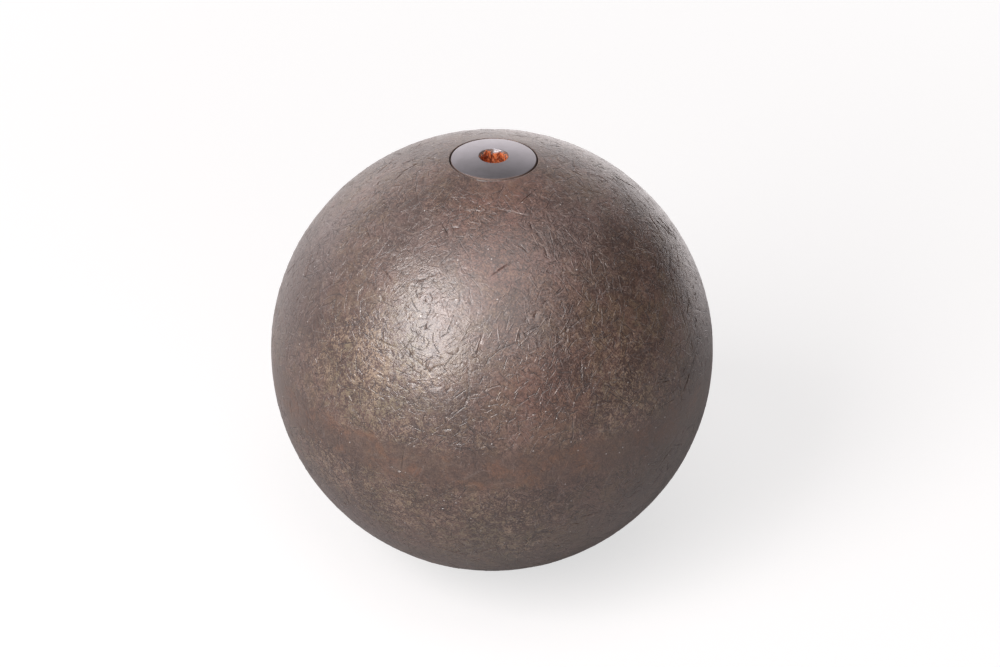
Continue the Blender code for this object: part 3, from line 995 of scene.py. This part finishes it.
def skin_surface():
    """The ball's patina: waxed brown with tan and olive flecks, greyer where it is worn to the metal, with
    painted shade in its creases, painted sheen near its outline, painted glints and a painted highlight on
    the hole's front rim.
    """
    look = Surface("brown_patina")
    stroke = look.attribute("stroke")
    bare = look.attribute("bare")
    height = look.node("SeparateXYZ", {0: look.place}).outputs[2]
    wavy = look.times(look.less(look.noise(5, 5, 0.65), 0.5), BELT_EDGE_WAVES)
    belt = look.ease(look.sum(look.math("ABSOLUTE", height), wavy), *BELT_EDGE)
    mottle = look.noise(1.6, 6, 0.72, shift=70, distortion=0.3)
    speck = look.noise(0.42, 3, 0.7, shift=90)
    paint_browns(look, belt, mottle, speck)
    flecks = paint_flecks(look, belt, mottle, speck)
    strands = skin_hairs(look, belt)

    sunk = look.most(look.times(stroke, -0.7), look.times(strands, -1.0), clamp=True)
    raised = look.most(look.times(stroke, 0.6), strands, clamp=True)
    # Painted shade: sunken strokes and hairs are painted darker, partly dirt in the creases and partly the
    # shade that falls in them
    dirt = look.times(sunk, 0.62)
    look.paint(dirt, CREASE_DARK)
    polish = look.times(raised, 0.30, look.ease(speck, 0.35, 0.6, 0.35, 1.0))
    look.paint(polish, WORN_GREY)
    # Painted glints: sparse pale specks in the colour, laid with the bare steel of the chip and the painted
    # highlight on the hole's front rim
    painted_glints = look.node("TexVoronoi", {"Vector": look.place, "Scale": 1 / PAINTED_GLINT_SPACING})
    painted_glints = look.times(look.ease(painted_glints.outputs["Distance"], PAINTED_GLINT_SIZE, 0.5 * PAINTED_GLINT_SIZE), 0.7)
    look.paint(look.most(bare, painted_glints), BARE_STEEL_AND_PAINTED_GLINT)

    rough = look.sum(look.ease(mottle, 0.35, 0.65, 0.42, 0.50), look.times(dirt, 0.2))
    rough = look.less(rough, look.sum(look.times(polish, 0.2), look.times(bare, 0.18)))
    metal = look.less(look.times(polish, 0.5), look.times(flecks, 0.3))
    metal = look.math("ADD", look.sum(metal, look.times(bare, 0.4)), 0.10, clamp=True)

    grain = look.times(look.noise(0.52, 2, 0.5, shift=400), GRAIN_RELIEF)
    lumps = look.times(look.noise(1.3, 3, 0.55, shift=430), LUMP_RELIEF)
    normal = look.bump(look.sum(look.times(strands, HAIR_RELIEF), grain, lumps))
    look.set(Base_Color=look.colour, Roughness=rough, Metallic=metal, Normal=normal)
    look.set(IOR=1.65, Specular_Tint=(1.0, 0.97, 0.97))
    look.set(Coat_Weight=0.85, Coat_Roughness=0.37, Coat_IOR=1.75, Coat_Normal=normal)
    return look.material


def plug_surface():
    """Turned steel, satin and a little dulled, with rust and painted glints in the socket, and dirt and
    painted shade round the edge and in the socket's mouth.
    """
    look = Surface("turned_steel")
    rust = look.attribute("rust")
    dirt = look.attribute("dirt")
    wear = look.noise(0.8, 2, 0.5, shift=80)
    dull = look.noise(3.2, 5, 0.6, shift=20, distortion=0.3)
    look.colour = look.mix(look.ease(dull, 0.35, 0.65), PLUG_DARK, PLUG_LIGHT)
    # Dirt and painted shade round the plug's edge and in the socket's mouth, from the rings' attribute
    grime_and_painted_shade = look.noise(0.7, 4, 0.6, shift=33)
    grime_and_painted_shade = look.ease(look.sum(dirt, look.times(grime_and_painted_shade, 0.4)), 0.55, 1.05, 0.0, 0.92)
    look.paint(grime_and_painted_shade, PLUG_DIRT_AND_SHADE)
    upright = look.vector("MULTIPLY", look.place, (1.0, 1.0, 0.35))
    streaks = look.noise(0.55, 4, 0.62, place=upright, distortion=0.4)
    crumbs = look.noise(0.35, 3, 0.6, shift=57)
    orange = look.mix(look.ease(streaks, 0.39, 0.60), RUST_DARK, RUST_LIGHT)
    orange = look.mix(look.ease(crumbs, 0.56, 0.68, 0.0, 0.8), orange, RUST_DARK)
    # Painted glints: pale specks in the rust
    orange = look.mix(look.ease(crumbs, 0.44, 0.34, 0.0, 0.6), orange, PAINTED_RUST_GLINT)
    ragged = look.sum(rust, look.times(look.less(streaks, 0.5), 0.9))
    ragged = look.times(look.ease(ragged, 0.40, 0.62), look.ease(rust, 0.0, 0.12))
    look.paint(ragged, orange)
    satin = look.ease(dull, 0.3, 0.7, 0.28, 0.31)
    rough = look.sum(satin, look.times(ragged, 0.22), look.times(grime_and_painted_shade, 0.35))
    metal = look.less(0.95, look.times(ragged, 0.80))
    metal = look.less(metal, look.times(grime_and_painted_shade, 0.5), clamp=True)
    crust = look.times(ragged, look.sum(look.times(streaks, 0.14), look.times(crumbs, 0.10)))
    relief = look.sum(look.times(wear, 0.006), crust)
    look.set(Base_Color=look.colour, Roughness=rough, Metallic=metal, Normal=look.bump(relief))
    return look.material


def plain_surface(name, dark, light, grain_size, roughness, metallic, depth):
    """A dull inner surface: two shades of one colour, a grain and a roughness that vary together."""
    look = Surface(name)
    grain = look.noise(grain_size, 5, 0.6, distortion=0.3)
    blotch = look.noise(7 * grain_size, 3, 0.5, shift=60)
    share = look.ease(look.sum(look.times(grain, 0.5), look.times(blotch, 0.5)), 0.38, 0.62)
    rough = look.ease(grain, 0.3, 0.7, roughness - 0.07, roughness + 0.07)
    look.set(Base_Color=look.mix(share, dark, light), Roughness=rough, Metallic=metallic)
    look.set(Normal=look.bump(look.times(grain, depth)))
    return look.material


# Stage, lights and camera

CAMERA_DISTANCE = 900.0
CAMERA_ELEVATION = 31.4
CAMERA_LENS = 130.2
CAMERA_ROLL = 0.5
CAMERA_SHIFT = (0.008, 0.01635)
LAMP_DISTANCE = 1100.0
WHITE = (1.0, 1.0, 1.0)
ROOM_TINT = (1.0, 0.95, 0.955)

# The mirrored room, by direction, +X right and +Y away, as Tree.ease takes it: start, end, low and high
BACKDROP_START = (-0.2, 0.9)
BACKDROP_RIGHT = (0.75, 0.30, 0.05, 1.25)
BACKDROP_LEFT = (-1.0, -0.6, 0.15, 1.0)
BACKDROP_LOW = (0.80, 0.06)
LEFT_ROOM = (0.6, -0.9)
LEFT_ROOM_LEVEL = 0.25
ROOM_LEVEL = 0.03

# The floor: what the camera sees of it, and where the ball mirrors it dark or bright
FLOOR_HALF_WIDTH = 6000.0
FLOOR_COLOUR = (0.385, 0.365, 0.365)
FLOOR_SEEN = (100, 800, 0.655, 0.875)
FLOOR_SHADOW = (220, -30, 0)
FLOOR_BEHIND = (-20, 120)
FLOOR_LEFT = (-200, 50, 0.25, 1.0)
FLOOR_RIGHT = (450, 150)
FLOOR_RIGHT_SLANT = -0.3
FLOOR_FAR = (120, 330, 0.0, 1.55)


def place_along(obj, direction, distance, roll):
    """Puts a lamp or camera this far from the ball, facing it, and turns it about its own axis."""
    obj.location = Vector(direction) * distance * MM
    obj.rotation_euler = (-Vector(direction)).to_track_quat("-Z", "Y").to_euler()
    obj.rotation_euler.rotate_axis("Z", math.radians(roll))


def make_camera():
    camera = add_object("camera", bpy.data.cameras.new("camera"))
    camera.data.lens = CAMERA_LENS
    camera.data.shift_x, camera.data.shift_y = CAMERA_SHIFT
    camera.data.clip_start = 0.01
    camera.data.clip_end = 50
    place_along(camera, bearing(0, CAMERA_ELEVATION), CAMERA_DISTANCE, CAMERA_ROLL)
    bpy.context.scene.camera = camera


def make_lamp(name, azimuth, elevation, roll, size, power):
    data = bpy.data.lights.new(name, "AREA")
    data.shape = "RECTANGLE"
    data.size, data.size_y = size[0] * MM, size[1] * MM
    data.energy = power
    place_along(add_object(name, data), bearing(azimuth, elevation), LAMP_DISTANCE, roll)


def make_lights():
    make_lamp("key_softbox", -40, 37, 28, (470, 850), 11.6)
    make_lamp("front_fill", 15, 43, 0, (500, 700), 1.8)
    make_lamp("top_softbox", 20, 78, 0, (900, 600), 2.5)


def make_world():
    """White for the camera. The ball mirrors a faintly warm backdrop behind it, which darkens upwards and
    to the sides, a dimmer room at the left and a dark one elsewhere."""
    world = bpy.data.worlds.new("white_room")
    world.use_nodes = True
    room = Tree(world.node_tree)
    background = world.node_tree.nodes["Background"]
    direction = room.node("TexCoord").outputs["Generated"]
    right, away, up = room.node("SeparateXYZ", {0: direction}).outputs
    sides = room.times(room.ease(right, *BACKDROP_RIGHT), room.ease(right, *BACKDROP_LEFT))
    low = room.ease(room.math("ABSOLUTE", up), *BACKDROP_LOW)
    backdrop = room.times(room.ease(away, *BACKDROP_START), sides, low)
    left = room.times(room.ease(right, *LEFT_ROOM), LEFT_ROOM_LEVEL)
    seen = room.node("LightPath").outputs["Is Camera Ray"]
    room.feed(background.inputs["Strength"], room.blend(seen, room.sum(backdrop, left, ROOM_LEVEL), 1.0))
    room.feed(background.inputs["Color"], room.mix(seen, ROOM_TINT, WHITE))
    bpy.context.scene.world = world


def floor_surface():
    """Pale floor that shows white to the camera but keeps the ball's shadow. In the metal it is bright
    only far behind the ball."""
    look = Surface("pale_floor")
    away = look.vector("SUBTRACT", look.place, FLOOR_SHADOW)
    away = look.vector("LENGTH", look.vector("MULTIPLY", away, (0.5, 1.0, 1.0)))
    across, along, _ = look.node("SeparateXYZ", {0: look.place}).outputs
    behind = look.times(look.ease(along, *FLOOR_BEHIND), look.ease(across, *FLOOR_LEFT))
    slanted = look.sum(across, look.times(along, FLOOR_RIGHT_SLANT))
    behind = look.times(behind, look.ease(slanted, *FLOOR_RIGHT))
    rays = look.node("LightPath").outputs
    mirrored = look.times(rays["Is Glossy Ray"], look.ease(away, *FLOOR_FAR), behind)
    seen = look.times(rays["Is Camera Ray"], look.ease(look.vector("LENGTH", look.place), *FLOOR_SEEN))
    look.set(Base_Color=FLOOR_COLOUR, Roughness=0.9, Emission_Strength=look.sum(seen, mirrored))
    look.set(Emission_Color=look.mix(rays["Is Camera Ray"], ROOM_TINT, WHITE))
    return look.material


def make_floor():
    mesh = bpy.data.meshes.new("floor")
    shape = bmesh.new()
    bmesh.ops.create_grid(shape, x_segments=1, y_segments=1, size=FLOOR_HALF_WIDTH * MM)
    shape.to_mesh(mesh)
    shape.free()
    floor = add_object("floor", mesh)
    floor.location.z = -BALL_RADIUS * MM
    mesh.materials.append(floor_surface())


# Plain surfaces: the dark and the light shade, the grain's size, roughness, metallic and the grain's depth
COPPER = (srgb(176, 100, 66), srgb(214, 140, 104), 0.5, 0.36, 1.0, 0.02)
LEAD = (srgb(104, 108, 114), srgb(138, 142, 148), 0.7, 0.52, 0.9, 0.06)
RUBBER = (srgb(30, 30, 31), srgb(46, 46, 47), 0.35, 0.78, 0.0, 0.03)
DRAWN_STEEL = (srgb(150, 148, 146), srgb(182, 180, 178), 0.45, 0.36, 1.0, 0.01)
FILLER = (srgb(112, 108, 98), srgb(142, 138, 128), 0.6, 0.82, 0.0, 0.08)


def main():
    patina = skin_surface()
    make_upper_half(patina)
    make_lower_half(patina)
    make_belt(patina)
    make_plug(plug_surface())
    make_washer(plain_surface("soft_copper", *COPPER))
    make_load(plain_surface("cast_lead", *LEAD), plain_surface("black_rubber", *RUBBER))
    make_sleeve(plain_surface("drawn_steel", *DRAWN_STEEL))
    make_core(plain_surface("cast_filler", *FILLER))
    make_floor()
    make_lights()
    make_world()
    make_camera()
    bpy.context.scene.view_settings.view_transform = "Standard"


def corners(box):
    return [list(corner) for corner in box]


main()
bpy.context.view_layer.update()
